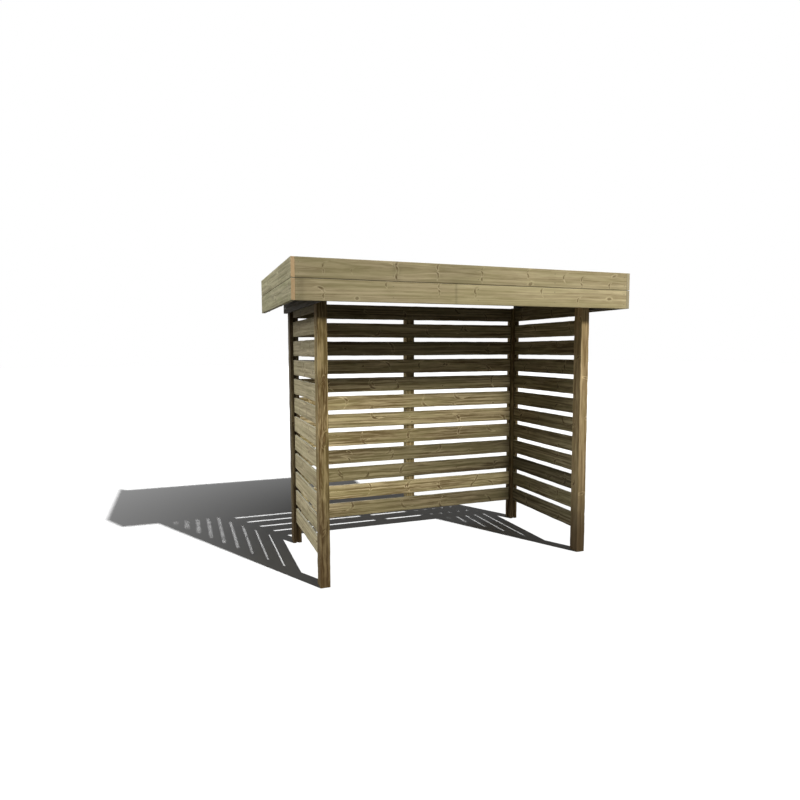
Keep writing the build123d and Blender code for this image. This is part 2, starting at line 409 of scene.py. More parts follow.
@dataclass(eq=False)
class Palette:
    """Makes each finish's material once."""

    figure: bpy.types.NodeTree = field(default_factory=figure_group)
    colour: bpy.types.NodeTree = field(default_factory=timber_colour_group)
    wear: bpy.types.NodeTree = field(default_factory=wear_group)

    @staticmethod
    def blank(name: str) -> tuple[bpy.types.Material, NodeTree, Node]:
        """A new material with only its shader and output."""
        material = bpy.data.materials.new(name)
        material.use_nodes = True
        nodes = NodeTree(material.node_tree)
        return material, nodes, Node(nodes, material.node_tree.nodes["Principled BSDF"])

    @staticmethod
    def damp_foot(nodes: NodeTree, colour: Value, finish: TimberFinish) -> Value:
        """Darkens a timber where the damp of the ground has risen in it."""
        place = nodes.place()
        height = nodes.separate(place)[2] + nodes.noise(place, 9.0, 3.0) * (-0.5 * finish.damp_height)
        damp = nodes.ramp(height, -0.2 * finish.damp_height, finish.damp_height, 0.6, 0.0)
        return nodes.mix(damp, colour, nodes.mix(0.6, finish.dark, srgb(52, 38, 18)))

    @cache
    def timber(self, finish: TimberFinish) -> bpy.types.Material:
        """Makes the material of a kind of timber.

        Args:
            finish: The timber's looks.

        Returns:
            The material.
        """
        material, nodes, shader = self.blank(finish.name)
        grain = nodes.attribute("grain", "Vector")
        figure = nodes.group(self.figure, {
            "Grain": grain, "Knot": nodes.attribute("knot", "Vector"), "Bend": nodes.attribute("bend"),
            "Ring Width": finish.ring_width, "Wander": 0.03})
        mixed = nodes.group(self.colour, {name: figure[name] for name in FIGURE_MASKS} | {
            "End": nodes.attribute("end"), "Tone": nodes.attribute("tone"),
            # top faces painted paler: partly sun bleaching, partly painted highlight
            "Top": nodes.attribute("top") * finish.top_bleach_and_highlight, "Band Depth": finish.band_depth,
            "Streak Depth": finish.streak_depth, "Ring Depth": finish.ring_depth,
            "Mottle Depth": finish.mottle_depth, "Green Share": finish.green_share, "Pale": finish.pale,
            "Dark": finish.dark, "Green": finish.green, "Knot Colour": finish.knot,
            "End Colour": finish.end_grain, "Top Colour": finish.bleached_and_lit})
        worn = nodes.group(self.wear, {"Edge": nodes.attribute("edge"), "Grain": grain})
        colour = nodes.mix(worn["Wear"] * finish.edge_wear, mixed["Colour"], finish.dark)
        if finish.damp_height:
            colour = self.damp_foot(nodes, colour, finish)
        height = figure["Fibre"] * 0.5 + figure["Streaks"] * -0.35 + figure["Rim"] * -0.15
        shader.feed({"Base Color": colour, "Roughness": figure["Streaks"] * 0.16 + (finish.roughness - 0.08),
                     "Specular IOR Level": 0.2, "Normal": nodes.bump(height, finish.relief, 0.7)})
        return material

    @cache
    def metal(self, name: str, colour: Colour, roughness: float, metallic: float) -> bpy.types.Material:
        """Makes a fixing's material, dulled unevenly.

        Args:
            name: The material's name.
            colour: Its clean colour.
            roughness: Its mean roughness.
            metallic: How much of it is bare metal.

        Returns:
            The material.
        """
        material, nodes, shader = self.blank(name)
        dull = nodes.ramp(nodes.noise(nodes.place(), 420.0, 3.0), 0.35, 0.7)
        dark = tuple(0.45 * channel for channel in colour)
        shader.feed({"Base Color": nodes.mix(dull, colour, dark), "Roughness": dull * 0.2 + roughness,
                     "Metallic": dull * -0.2 + metallic})
        return material

    def felt(self) -> bpy.types.Material:
        """Makes the mineral roofing felt: grit in a bitumen sheet, with dust and damp marks."""
        material, nodes, shader = self.blank("mineral_felt")
        place = nodes.place()
        cells = nodes.add("ShaderNodeTexVoronoi", {"Vector": place, "Scale": 620.0})
        marks = nodes.ramp(nodes.noise(place, 3.5, 5.0, 0.6), 0.4, 0.68)
        dust = nodes.ramp(nodes.noise(nodes.vector("MULTIPLY", place, (5.0, 1.3, 5.0)), 1.0, 3.0), 0.45, 0.75)
        colour = nodes.mix(nodes.separate(cells["Color"])[0], srgb(38, 43, 40), srgb(84, 92, 86))
        colour = nodes.mix(marks * 0.45, colour, srgb(40, 42, 38))
        colour = nodes.mix(dust * 0.25, colour, srgb(112, 108, 92))
        height = cells["Distance"] + nodes.noise(place, 45.0, 3.0)
        shader.feed({"Base Color": colour, "Roughness": marks * -0.12 + 0.95, "Specular IOR Level": 0.25,
                     "Normal": nodes.bump(height, 0.8 * MM, 0.6)})
        return material


def sawn_rows_tree() -> bpy.types.NodeTree:
    """Builds the Geometry Nodes tree that repeats a board in a row, each copy's edges wandering as a saw leaves them.

    A board's own mesh holds its local place (along, across, through) in the attribute local. The copies are told apart
    by the attribute copy, which the tree writes.
    """
    floats = ("Half Breadth", "Half Thickness", "Wander", "Bow", "Seed")
    nodes, given, result = new_group(
        "sawn rows", "GeometryNodeTree",
        {"Geometry": "Geometry", "Count": "Int", "Pitch": "Vector", "Broad Axis": "Vector", "Thin Axis": "Vector",
         "Material": "Material"} | dict.fromkeys(floats, "Float"), {"Geometry": "Geometry"})
    line = nodes.add("GeometryNodeMeshLine", {"Count": given["Count"], "Offset": given["Pitch"]}, mode="OFFSET")
    copies = nodes.add("GeometryNodeInstanceOnPoints", {"Points": line[0], "Instance": given["Geometry"]})
    index = nodes.add("GeometryNodeInputIndex")[0]
    numbered = nodes.add("GeometryNodeStoreNamedAttribute", {"Geometry": copies[0], "Name": "copy", "Value": index},
                         data_type="INT", domain="INSTANCE")
    boards = nodes.add("GeometryNodeRealizeInstances", {"Geometry": numbered[0]})
    local = nodes.add("GeometryNodeInputNamedAttribute", {"Name": "local"}, data_type="FLOAT_VECTOR")[0]
    along, broad, thin = nodes.separate(local)
    number = nodes.add("GeometryNodeInputNamedAttribute", {"Name": "copy"}, data_type="INT")[0]
    own = number * 5.3 + given["Seed"]

    def wander(across: Value, half: Value, shift: float) -> Value:
        """How far a point is pulled in towards the middle of the section."""
        place = nodes.combine(along * 9.0 + shift, own, nodes.math("SIGN", across) * 3.1)
        pull = nodes.ramp(nodes.noise(place, 1.0, 4.0, 0.55), 0.32, 0.72, 0.0, given["Wander"], smooth=False)
        return across / half * (pull * -1.0)

    bend = (nodes.noise(nodes.combine(along * 1.1, own, 31.0), 1.0, 1.0) - 0.5) * given["Bow"]
    broad_shift = wander(broad, given["Half Breadth"], 0.0) + bend
    thin_shift = wander(thin, given["Half Thickness"], 40.0)
    offset = nodes.vector("ADD", nodes.scale(given["Broad Axis"], broad_shift),
                          nodes.scale(given["Thin Axis"], thin_shift))
    moved = nodes.add("GeometryNodeSetPosition", {"Geometry": boards[0], "Offset": offset})
    dressed = nodes.add("GeometryNodeSetMaterial", {"Geometry": moved[0], "Material": given["Material"]})
    result.feed({"Geometry": dressed[0]})
    return nodes.tree


def fixings_tree() -> bpy.types.NodeTree:
    """Builds the Geometry Nodes tree that puts a screw's or nail's head on each point, facing as the point says."""
    nodes, given, result = new_group(
        "fixings", "GeometryNodeTree",
        {"Geometry": "Geometry", "Head Radius": "Float", "Head Height": "Float", "Recess Radius": "Float",
         "Head Material": "Material", "Recess Material": "Material"}, {"Geometry": "Geometry"})
    head = nodes.add("GeometryNodeMeshCone", {
        "Vertices": 14, "Radius Top": given["Head Radius"] * 0.82, "Radius Bottom": given["Head Radius"],
        "Depth": given["Head Height"]})
    head = nodes.add("GeometryNodeSetMaterial", {"Geometry": head[0], "Material": given["Head Material"]})
    recess = nodes.add("GeometryNodeMeshCylinder", {
        "Vertices": 6, "Radius": given["Recess Radius"], "Depth": given["Head Height"] * 0.1})
    recess = nodes.add("GeometryNodeSetMaterial", {"Geometry": recess[0], "Material": given["Recess Material"]})
    lift = nodes.combine(0.0, 0.0, given["Head Height"] * 1.01)
    lifted = nodes.add("GeometryNodeTransform", {"Geometry": recess[0], "Translation": lift})
    whole = nodes.add("GeometryNodeJoinGeometry")
    for part in (head, lifted):
        whole.feed({0: part[0]})
    facing = nodes.add("GeometryNodeInputNamedAttribute", {"Name": "facing"}, data_type="FLOAT_VECTOR")
    turn = nodes.add("FunctionNodeAlignRotationToVector", {"Vector": facing[0]}, axis="Z")
    copies = nodes.add("GeometryNodeInstanceOnPoints", {
        "Points": given["Geometry"], "Instance": whole[0], "Rotation": turn[0]})
    result.feed({"Geometry": nodes.add("GeometryNodeRealizeInstances", {"Geometry": copies[0]})[0]})
    return nodes.tree


def add_object(name: str, data: bpy.types.ID) -> bpy.types.Object:
    """Makes an object of a mesh, a lamp or a camera and puts it in the scene."""
    made = bpy.data.objects.new(name, data)
    bpy.context.scene.collection.objects.link(made)
    return made


def run_tree(mesh: bpy.types.Mesh, tree: bpy.types.NodeTree, values: dict[str, object],
             name: str) -> bpy.types.Object:
    """Runs a Geometry Nodes tree on a mesh and keeps the result as a plain mesh.

    Args:
        mesh: What goes into the tree.
        tree: The tree, with named inputs.
        values: The inputs' values by name.
        name: The finished object's name.

    Returns:
        The finished object, at the origin.
    """
    source = add_object(f"{name}_source", mesh)
    modifier = source.modifiers.new("nodes", "NODES")
    modifier.node_group = tree
    for item in tree.interface.items_tree:
        if item.item_type == "SOCKET" and item.in_out == "INPUT" and item.name in values:
            modifier[item.identifier] = values[item.name]
    graph = bpy.context.evaluated_depsgraph_get()
    made = bpy.data.meshes.new_from_object(source.evaluated_get(graph), preserve_all_data_layers=True, depsgraph=graph)
    made.name = name
    source.modifiers.remove(modifier)
    bpy.data.objects.remove(source)
    return add_object(name, made)


def smooth(mesh: bpy.types.Mesh) -> None:
    """Shades a mesh smooth but for its sharp edges."""
    mesh.shade_smooth()
    mesh.set_sharp_from_angle(angle=SHARP_ANGLE)


def read(items: bpy.types.bpy_prop_collection, name: str, kind: type = float, width: int = 1) -> np.ndarray:
    """Reads one property of a mesh's points, corners or faces, in rows where the width is over one."""
    values = np.empty(len(items) * width, kind)
    items.foreach_get(name, values)
    return values.reshape(-1, width) if width > 1 else values


def write(mesh: bpy.types.Mesh, name: str, domain: str, values: np.ndarray) -> None:
    """Writes an attribute of a mesh: a number or a vector for each point or corner."""
    kind, part = ("FLOAT", "value") if values.ndim == 1 else ("FLOAT_VECTOR", "vector")
    mesh.attributes.new(name, kind, domain).data.foreach_set(part, values.astype(np.float32).ravel())


@dataclass
class Timber:
    """A length of sawn timber, or a row of like ones, which is swept along one axis of the model.

    It stands for a node of the solids. In its own frame a point lies along the length from the low end, across the
    breadth and through the thickness from the middle of the section. The corners are those of the first board.
    """

    node: str
    low: Vector
    high: Vector
    length_axis: Axis
    broad_axis: Axis
    finish: TimberFinish
    seed: int
    radius: float = 2.5 * MM
    grooves: tuple[Side, ...] = ()
    groove_width: float = 20.8 * MM
    groove_depth: float = 15 * MM
    count: int = 1
    pitch: Vector = field(default_factory=lambda: WORLD_ORIGIN)
    knots: tuple[Knot, ...] = ()
    spikes: float = 0.3
    tones: tuple[float, ...] = ()
    fades: tuple[float, ...] = ()
    marks: tuple[Mark, ...] = ()
    wander: float = 1.2 * MM
    bow: float = 0.0
    heart: bool = False
    station: float = 22 * MM
    strip: float = 24 * MM
    shape: Callable[[np.ndarray], np.ndarray] | None = None
    place: Matrix = field(default_factory=lambda: Matrix.Identity(4))
    suffix: str = "sawn"

    @property
    def name(self) -> str:
        """The finished piece's name."""
        return f"{self.node}_{self.suffix}"

    @property
    def axes(self) -> tuple[Axis, Axis, Axis]:
        """The axes along the length, across the breadth and through the thickness."""
        thin = next(axis for axis in Axis if axis not in (self.length_axis, self.broad_axis))
        return self.length_axis, self.broad_axis, thin

    @property
    def sizes(self) -> tuple[float, ...]:
        """One board's length, breadth and thickness."""
        return tuple(self.high[axis.value] - self.low[axis.value] for axis in self.axes)

    def side_points(self, length: float, out: float, groove: bool) -> list[tuple[float, float]]:
        """Points of one side of the section, with the corner after it, as (along the side, outwards)."""
        flat = length / 2 - self.radius
        stops = [-flat, flat]
        if groove:
            half = self.groove_width / 2
            stops = [-flat, -half, half, flat]
        points = []
        for index in range(0, len(stops), 2):
            start, end = stops[index], stops[index + 1]
            steps = max(1, round((end - start) / self.strip))
            points += [(start + (end - start) * i / steps, out) for i in range(steps + 1)]
            if groove and index == 0:
                points += [(end, out - self.groove_depth), (-end, out - self.groove_depth)]
        for turn in (math.radians(30), math.radians(60)):
            points.append((flat + self.radius * math.sin(turn), out - self.radius * (1 - math.cos(turn))))
        return points

    def outline(self) -> list[tuple[float, float]]:
        """The section's outline as (across, through), anticlockwise."""
        _, broad, thin = self.sizes
        turns = {Side.THIN_LOW: lambda t, h: (t, -h), Side.BROAD_HIGH: lambda t, h: (h, t),
                 Side.THIN_HIGH: lambda t, h: (-t, h), Side.BROAD_LOW: lambda t, h: (-h, -t)}
        points = []
        for side, turned in turns.items():
            on_face = side in (Side.THIN_LOW, Side.THIN_HIGH)
            length, out = (broad, thin / 2) if on_face else (thin, broad / 2)
            points += [turned(t, h) for t, h in self.side_points(length, out, side in self.grooves)]
        return points

    def stations(self) -> list[tuple[float, float]]:
        """Places along the length, each with how much the section is drawn in there to ease the ends' edges."""
        length = self.sizes[0]
        steps = max(2, round(length / self.station))
        inner = [(END_EASE + (length - 2 * END_EASE) * i / steps, 0.0) for i in range(steps + 1)]
        return [(0.0, END_EASE), *inner, (length, END_EASE)]

    def swept(self) -> bpy.types.Mesh:
        """The first board as a closed mesh, with each point's local place in the attribute local."""
        outline = np.array(self.outline())
        half = np.array(self.sizes[1:]) / 2
        local = np.concatenate([
            np.column_stack((np.full(len(outline), along), outline * (1 - drawn / half)))
            for along, drawn in self.stations()])
        placed = self.shape(local) if self.shape else local
        middle = (self.low + self.high) / 2
        points = np.zeros_like(placed)
        for column, axis in enumerate(self.axes):
            start = middle if column else self.low
            points[:, axis.value] = placed[:, column] + start[axis.value]
        ring, rows = len(outline), len(self.stations())
        faces = [tuple(range(ring)), tuple(range((rows - 1) * ring, rows * ring))]
        for row in range(rows - 1):
            for i in range(ring):
                j = (i + 1) % ring
                faces.append((row * ring + i, row * ring + j, (row + 1) * ring + j, (row + 1) * ring + i))
        mesh = bpy.data.meshes.new(self.name)
        mesh.from_pydata(points.tolist(), [], faces)
        write(mesh, "local", "POINT", local)
        work = bmesh.new()
        work.from_mesh(mesh)
        bmesh.ops.recalc_face_normals(work, faces=work.faces)
        work.to_mesh(mesh)
        work.free()
        return mesh

    def grown_knots(self) -> list[Knot]:
        """The knots listed, and on the boards that have none of them, whorls of knots at random."""
        chance = random.Random(self.seed)
        knots = list(self.knots)
        length, breadth, thickness = self.sizes
        given = {(knot.copy, knot.through_breadth) for knot in self.knots}
        for copy in range(self.count):
            for sideways in ((False, True) if self.heart else (False,)):
                if (copy, sideways) in given:
                    continue
                reach = (thickness if sideways else breadth) / 2
                along = chance.uniform(0.05, 0.3)
                while along < length:
                    for _ in range(chance.choice((1, 1, 2))):
                        knots.append(self.random_knot(chance, along, reach, copy, sideways))
                    along += chance.uniform(0.22, 0.5)
        return knots

    def random_knot(self, chance: random.Random, along: float, reach: float, copy: int, sideways: bool) -> Knot:
        """Grows a knot: round where a branch is cut across, or a bent spike where it is cut along.

        Args:
            chance: The source of chance.
            along: About where it lies along the board.
            reach: Half the face's breadth.
            copy: The board's number.
            sideways: Whether it goes through the breadth.

        Returns:
            The knot.
        """
        along += chance.uniform(-0.03, 0.03)
        if chance.random() < self.spikes:
            way, bow = chance.choice((-1, 1)), chance.choice((-1, 1))
            return Knot(along, chance.uniform(0.2, 0.6) * reach * chance.choice((-1, 1)),
                        chance.uniform(9, 14) * MM, chance.uniform(0.7, 1.1) * reach, way * chance.uniform(0.2, 0.8),
                        bow * chance.uniform(0.8, 2.2), copy, sideways)
        width = chance.uniform(5, 11) * MM
        return Knot(along, chance.uniform(-0.85, 0.85) * reach, width * chance.uniform(1.1, 2.4), width,
                    chance.uniform(-0.7, 0.7), chance.uniform(-0.4, 0.4), copy, sideways)

    def write_figure(self, mesh: bpy.types.Mesh) -> None:
        """Writes what the finish reads: the place in the log, the tone, the edges, the ends and the nearest knot.

        Args:
            mesh: The finished mesh, with the attributes local and copy.
        """
        chance = random.Random(self.seed + 1)
        local = read(mesh.attributes["local"].data, "vector", width=3)
        copy = read(mesh.attributes["copy"].data, "value", np.int32)
        length, broad, thin = self.sizes
        pith = np.array([self.pith(chance, broad, thin) for _ in range(self.count)])
        write(mesh, "grain", "POINT", local + pith[copy])
        tones = self.tones or [chance.uniform(-1, 1) * self.finish.tone_spread for _ in range(self.count)]
        fades = self.fades or (0.0,) * self.count
        tone = np.array(tones)[copy] + np.array(fades)[copy] * (local[:, 0] / length - 0.5)
        # painted shade: each face is darker towards the edges of its breadth, as though it were rounded
        tone -= self.finish.painted_edge_shade * np.abs(local[:, 1] / (broad / 2)) ** 3
        for mark in self.marks:
            tone += mark.tone * np.exp(-((local[:, 0] - mark.along) / mark.width) ** 4)
        write(mesh, "tone", "POINT", tone)
        near = broad / 2 - np.abs(local[:, 1]) + np.maximum(thin / 2 - np.abs(local[:, 2]), 0.0)
        write(mesh, "edge", "POINT", np.clip(1 - near / (1.4 * self.radius), 0, 1))

        corner_point = read(mesh.loops, "vertex_index", np.int32)
        sizes = read(mesh.polygons, "loop_total", np.int32)
        starts = read(mesh.polygons, "loop_start", np.int32)
        normals = read(mesh.polygons, "normal", width=3)
        face_of_corner = np.repeat(np.arange(len(sizes)), sizes)
        write(mesh, "end", "CORNER", (sizes > 4)[face_of_corner])
        write(mesh, "top", "CORNER", (normals[:, Axis.Z.value] > TOP_FACE)[face_of_corner])
        corners = local[corner_point]
        centres = np.add.reduceat(corners, starts) / sizes[:, None]
        sideways = np.abs(normals[:, self.broad_axis.value]) > np.abs(normals[:, self.axes[2].value])
        knot, bend = self.nearest_knots(corners, centres, face_of_corner, copy[corner_point[starts]], sideways)
        write(mesh, "knot", "CORNER", knot)
        write(mesh, "bend", "CORNER", bend)

    def nearest_knots(self, corners: np.ndarray, centres: np.ndarray, face_of_corner: np.ndarray,
                      face_copy: np.ndarray, sideways: np.ndarray) -> tuple[np.ndarray, np.ndarray]:
        """Finds the knot nearest to each face.

        Args:
            corners: The corners' local places.
            centres: The faces' middles.
            face_of_corner: The face that each corner belongs to.
            face_copy: The board that each face belongs to.
            sideways: Which faces look along the breadth.

        Returns:
            Each corner's place in the knot's own frame, with a strength, and how the knot bends.
        """
        figure = np.full((len(corners), 3), NO_KNOT)
        bend = np.zeros(len(corners))
        knots = self.grown_knots()
        if not knots:
            return figure, bend
        along, across, length, breadth, tilt, bends, copies, through = np.array([
            (k.along, k.across, k.length, k.breadth, k.tilt, k.bend, k.copy, k.through_breadth) for k in knots]).T

        def relative(place: np.ndarray, which: slice | np.ndarray) -> tuple[np.ndarray, np.ndarray]:
            """The place in a knot's own frame, in which its outline is the unit circle."""
            x = place[..., 0] - along[which]
            y = np.where(through[which] > 0.5, place[..., 2], place[..., 1]) - across[which]
            cosine, sine = np.cos(tilt[which]), np.sin(tilt[which])
            return 2 * (x * cosine + y * sine) / length[which], 2 * (y * cosine - x * sine) / breadth[which]

        distance = np.hypot(*relative(centres[:, None, :], slice(None)))
        distance[face_copy[:, None] != copies] = math.inf
        if self.heart:
            distance[sideways[:, None] != (through > 0.5)] = math.inf
        nearest = distance.argmin(1)[face_of_corner]
        seen = np.isfinite(distance.min(1))[face_of_corner]
        one, other = relative(corners, nearest)
        figure[seen] = np.column_stack((one, other, np.ones(len(one))))[seen]
        bend[seen] = bends[nearest][seen]
        return figure, bend

    def pith(self, chance: random.Random, broad: float, thin: float) -> tuple[float, float, float]:
        """How far the log's heart lies from the middle of a board."""
        shift = chance.uniform(0, 40)
        if self.heart:
            return shift, chance.uniform(-0.3, 0.3) * broad, chance.uniform(-0.3, 0.3) * thin
        return shift, chance.uniform(-0.45, 0.45) * broad, chance.choice((-1, 1)) * chance.uniform(15, 60) * MM

    def build(self, palette: Palette, tree: bpy.types.NodeTree) -> bpy.types.Object:
        """Builds the timber.

        Args:
            palette: The materials.
            tree: The tree from sawn_rows_tree.

        Returns:
            The finished object.
        """
        _, broad, thin = self.sizes
        values = {
            "Count": self.count, "Pitch": tuple(self.pitch), "Broad Axis": tuple(self.broad_axis.unit),
            "Thin Axis": tuple(self.axes[2].unit), "Half Breadth": broad / 2, "Half Thickness": thin / 2,
            "Wander": self.wander, "Bow": self.bow, "Seed": float(self.seed),
            "Material": palette.timber(self.finish)}
        piece = run_tree(self.swept(), tree, values, self.name)
        self.write_figure(piece.data)
        piece.data.transform(self.place)
        smooth(piece.data)
        return piece


POST_FINISH = TimberFinish(
    name="post_timber", slot="post_timber", pale=srgb(172, 150, 106), dark=srgb(80, 60, 30), green=srgb(122, 110, 66),
    end_grain=srgb(150, 118, 72), knot=srgb(108, 84, 50), green_share=0.3, ring_width=4.2 * MM, streak_depth=0.6,
    mottle_depth=0.8, painted_edge_shade=0.0, damp_height=0.5, roughness=0.86, relief=1.4 * MM)
PALE_POST_FINISH = replace(POST_FINISH, name="pale_post_timber", pale=srgb(192, 168, 124), dark=srgb(96, 74, 42),
                           green=srgb(140, 124, 78), knot=srgb(78, 56, 30), band_depth=0.4, streak_depth=0.4,
                           mottle_depth=0.2)
SLAT_FINISH = TimberFinish(
    name="slat_timber", slot="slat_timber", pale=srgb(184, 167, 127), dark=srgb(94, 79, 49), green=srgb(134, 126, 84),
    end_grain=srgb(150, 122, 80))
GREY_SLAT_FINISH = replace(SLAT_FINISH, name="grey_slat_timber", pale=srgb(190, 173, 136), dark=srgb(110, 96, 68),
                           green=srgb(144, 134, 98), band_depth=0.45, streak_depth=0.4)
FRONT_FASCIA_FINISH = TimberFinish(
    name="front_fascia_timber", slot="front_fascia_timber", pale=srgb(178, 163, 126), dark=srgb(114, 100, 67),
    green=srgb(142, 134, 92), end_grain=srgb(176, 147, 110), knot=srgb(98, 78, 50), band_depth=0.4,
    streak_depth=0.25, ring_depth=0.2, tone_spread=0.02, painted_edge_shade=0.04)
SIDE_FASCIA_FINISH = TimberFinish(
    name="side_fascia_timber", slot="side_fascia_timber", pale=srgb(167, 156, 122), dark=srgb(101, 92, 65),
    green=srgb(130, 126, 88), end_grain=srgb(182, 150, 110), band_depth=0.45, streak_depth=0.35,
    tone_spread=0.05, painted_edge_shade=0.04)
RIGHT_FASCIA_FINISH = replace(SIDE_FASCIA_FINISH, name="right_fascia_timber", end_grain=srgb(178, 164, 132))
FRAME_FINISH = TimberFinish(
    name="frame_timber", slot="frame_timber", pale=srgb(156, 138, 98), dark=srgb(90, 72, 42), green=srgb(116, 108, 70),
    end_grain=srgb(150, 120, 78), relief=1.2 * MM)
DECK_FINISH = TimberFinish(
    name="deck_board", slot="deck_board", pale=srgb(184, 160, 116), dark=srgb(128, 104, 66), green=srgb(140, 128, 84),
    end_grain=srgb(160, 130, 86), green_share=0.2)


@dataclass
class RoofPlane:
    """The plane in which the roof lies: on the bearers' tops, falling to the back."""

    fall: float = 30 * MM
    bearer_rear_height: float = 120 * MM

    @property
    def angle(self) -> float:
        """How steeply it falls."""
        low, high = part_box("fascia_left_lower")
        return math.atan2(self.fall, high.y - low.y)

    def matrix(self) -> Matrix:
        """Takes the roof's own frame, whose origin is at the rear ends of the bearers' tops, into the model's."""
        low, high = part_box("side_bearer_left")
        rear = Matrix.Translation((0.0, high.y, low.z + self.bearer_rear_height))
        return rear @ Matrix.Rotation(-self.angle, 4, "X")

    def along_fall(self, y: float, height: float) -> float:
        """Place along the fall, at a height over the bearers, of what stands at y on the ground."""
        return (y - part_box("side_bearer_left")[1].y - height * math.sin(self.angle)) / math.cos(self.angle)


@dataclass(frozen=True)
class Head:
    """The head of a screw, bolt or nail: its radius, how far it stands proud, and the radius of its recess."""

    radius: float
    height: float
    recess: float


@dataclass
class Workshop:
    """What every sub-assembly builds with."""

    palette: Palette
    rows: bpy.types.NodeTree
    fixings: bpy.types.NodeTree
    roof: RoofPlane
    pieces: list[bpy.types.Object] = field(default_factory=list)

    def seat(self, piece: bpy.types.Object, node: str | None) -> None:
        """Puts a finished piece in the frame.

        Args:
            piece: The piece, in place.
            node: The solid that it stands for, if any.
        """
        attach(piece, "root")
        if node:
            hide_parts(node)
        self.pieces.append(piece)
        log.info("%s: %d faces", piece.name, len(piece.data.polygons))

    def saw(self, timber: Timber) -> None:
        """Builds a timber in the place of its solids."""
        self.seat(timber.build(self.palette, self.rows), timber.node)

    def fix(self, name: str, places: Sequence[tuple[Vector, Vector]], head: Head,
            materials: tuple[bpy.types.Material, bpy.types.Material]) -> None:
        """Drives a row of screws, bolts or nails.

        Args:
            name: The piece's name.
            places: Where each head sits and which way it faces.
            head: The head's sizes.
            materials: The head's and the recess's materials.
        """
        mesh = bpy.data.meshes.new(name)
        mesh.from_pydata([tuple(place) for place, _ in places], [], [])
        write(mesh, "facing", "POINT", np.array([tuple(way) for _, way in places]))
        values = {"Head Radius": head.radius, "Head Height": head.height, "Recess Radius": head.recess,
                  "Head Material": materials[0], "Recess Material": materials[1]}
        self.seat(run_tree(mesh, self.fixings, values, name), None)

    def screw_metals(self) -> tuple[bpy.types.Material, bpy.types.Material]:
        """The coated head of a decking screw and its recess."""
        return (self.palette.metal("coated_screw", srgb(150, 138, 102), 0.6, 0.3),
                self.palette.metal("screw_recess", srgb(80, 72, 52), 0.7, 0.3))

    def nail_metals(self) -> tuple[bpy.types.Material, bpy.types.Material]:
        """The zinc-coated head of a clout nail."""
        zinc = self.palette.metal("galvanised_nail", srgb(150, 152, 150), 0.5, 0.9)
        return zinc, zinc


@dataclass(frozen=True)
class PostLook:
    """What tells one post from another: how bright it is, how that grows with height, and its knots and marks."""

    node: str
    tone: float
    fade: float
    knots: tuple[Knot, ...] = ()
    marks: tuple[Mark, ...] = ()
    finish: TimberFinish = POST_FINISH


@dataclass
class Posts:
    """The four corner posts, grooved for the slats."""

    edge: float = 4 * MM
    looks: tuple[PostLook, ...] = (
        # painted shade: the top mark darkens the post where the fascia shades it
        PostLook("post_front_left", -0.04, 0.1,
                 (Knot(1.38, 0.002, 26 * MM, 12 * MM, 0.3), Knot(0.99, 0.004, 44 * MM, 15 * MM, 0.1),
                  Knot(0.37, -0.008, 22 * MM, 10 * MM, 0.4)),
                 (Mark(1.95, 190 * MM, -0.25), Mark(1.08, 110 * MM, 0.2), Mark(0.35, 280 * MM, -0.2))),
        # painted light: the fade and the top mark brighten the post towards its top
        PostLook("post_front_right", 0.0, 0.9,
                 (Knot(1.35, 0.012, 9 * MM, 30 * MM, 0.2), Knot(1.04, 0.026, 12 * MM, 12 * MM),
                  Knot(0.46, -0.006, 10 * MM, 34 * MM, -0.2)),
                 (Mark(0.0, 360 * MM, -0.42), Mark(1.93, 120 * MM, 0.25)), PALE_POST_FINISH),
        PostLook("post_back_left", -0.64, 0.0),
        PostLook("post_back_right", -0.3, 0.5))

    def build(self, shop: Workshop) -> None:
        """Builds the posts."""
        for seed, look in enumerate(self.looks):
            low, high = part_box(look.node)
            grooves = (Side.THIN_HIGH,)
            if "back" in look.node:
                grooves = (Side.THIN_LOW, Side.BROAD_HIGH if "left" in look.node else Side.BROAD_LOW)
            shop.saw(Timber(look.node, low, high, Axis.Z, Axis.X, look.finish, seed=101 + 7 * seed,
                            radius=self.edge, grooves=grooves, knots=look.knots, wander=3.6 * MM, heart=True,
                            station=18 * MM, strip=18 * MM, tones=(look.tone,), fades=(look.fade,),
                            marks=look.marks))


